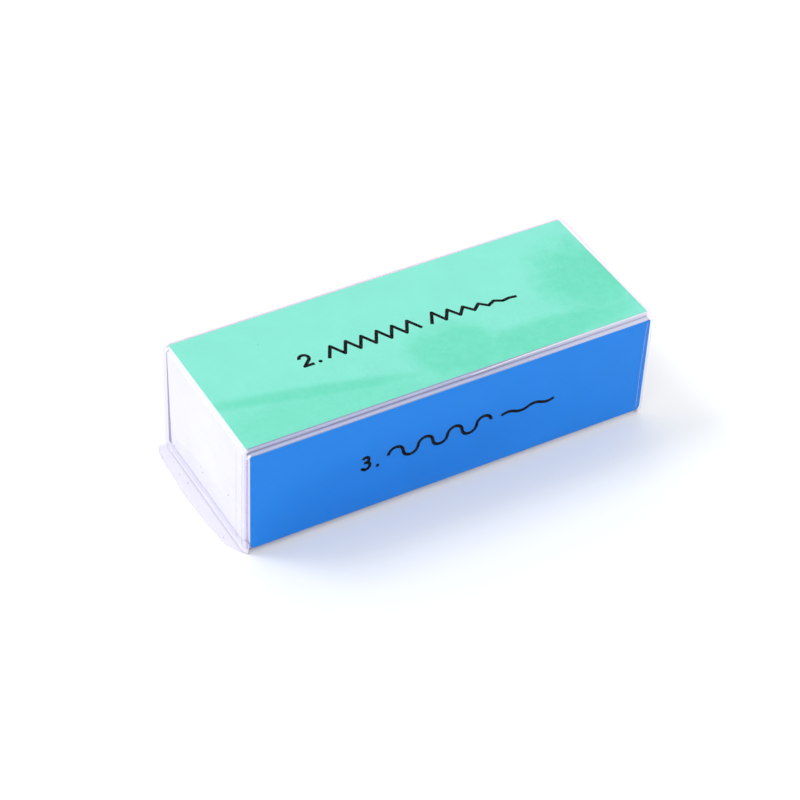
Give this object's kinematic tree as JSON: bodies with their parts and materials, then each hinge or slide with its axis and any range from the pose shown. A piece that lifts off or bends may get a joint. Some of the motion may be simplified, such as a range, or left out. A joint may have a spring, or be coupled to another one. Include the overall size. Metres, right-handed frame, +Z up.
{
  "type": "nail buffer block",
  "caption": "Foam block with a padded abrasive sheet on each long side, wrapped in clear shrink film, for filing, smoothing and shining nails.",
  "frame": {"origin": "middle of the wrap's underside, on the surface that the block stands on", "axes": "+X along the block's length; -Y out of the front side (step 3, smoothing); +Z up out of the top side (step 2, ridge removal)"},
  "size_m": [0.1026, 0.0391, 0.0282],
  "materials": {
    "core_foam": "fine-celled EVA foam, cut, off-white with a cool tint",
    "cushion_foam": "closed-cell PE foam tape, white",
    "adhesive": "double-sided acrylic adhesive film",
    "file_abrasive": "coated abrasive, coarse grit, pink",
    "ridge_abrasive": "coated abrasive, medium grit, mint green",
    "smooth_abrasive": "coated abrasive, fine grit, blue",
    "shine_abrasive": "polishing film, very fine, pale grey",
    "print_ink": "blue-black printing ink",
    "shrink_film": "clear polyolefin shrink film, glossy"
  },
  "bodies": {
    "block": {"back_edge_seal": "shrink_film", "file_core_adhesive": "adhesive", "file_cushion": "cushion_foam", "file_sheet": "file_abrasive", "file_sheet_adhesive": "adhesive", "file_step_mark": "print_ink", "film_wrap": "shrink_film", "foam_core": "core_foam", "ridge_core_adhesive": "adhesive", "ridge_cushion": "cushion_foam", "ridge_sheet": "ridge_abrasive", "ridge_sheet_adhesive": "adhesive", "ridge_step_mark": "print_ink", "shine_core_adhesive": "adhesive", "shine_cushion": "cushion_foam", "shine_sheet": "shine_abrasive", "shine_sheet_adhesive": "adhesive", "shine_step_mark": "print_ink", "smooth_core_adhesive": "adhesive", "smooth_cushion": "cushion_foam", "smooth_sheet": "smooth_abrasive", "smooth_sheet_adhesive": "adhesive", "smooth_step_mark": "print_ink"},
    "left_fin": {"left_end_fin": "shrink_film"},
    "right_fin": {"right_end_fin": "shrink_film"}
  },
  "joints": [
    {"name": "left_fin_fold", "type": "hinge", "parent": "block", "child": "left_fin", "pos_m": [-0.04838, 0, 0.00025], "axis": [0, 1, 0], "range_deg": [0, 85], "stiffness_Nm_per_rad": 0.0001},
    {"name": "right_fin_fold", "type": "hinge", "parent": "block", "child": "right_fin", "pos_m": [0.04838, 0, 0.00025], "axis": [0, -1, 0], "range_deg": [0, 85], "stiffness_Nm_per_rad": 0.0001}
  ]
}
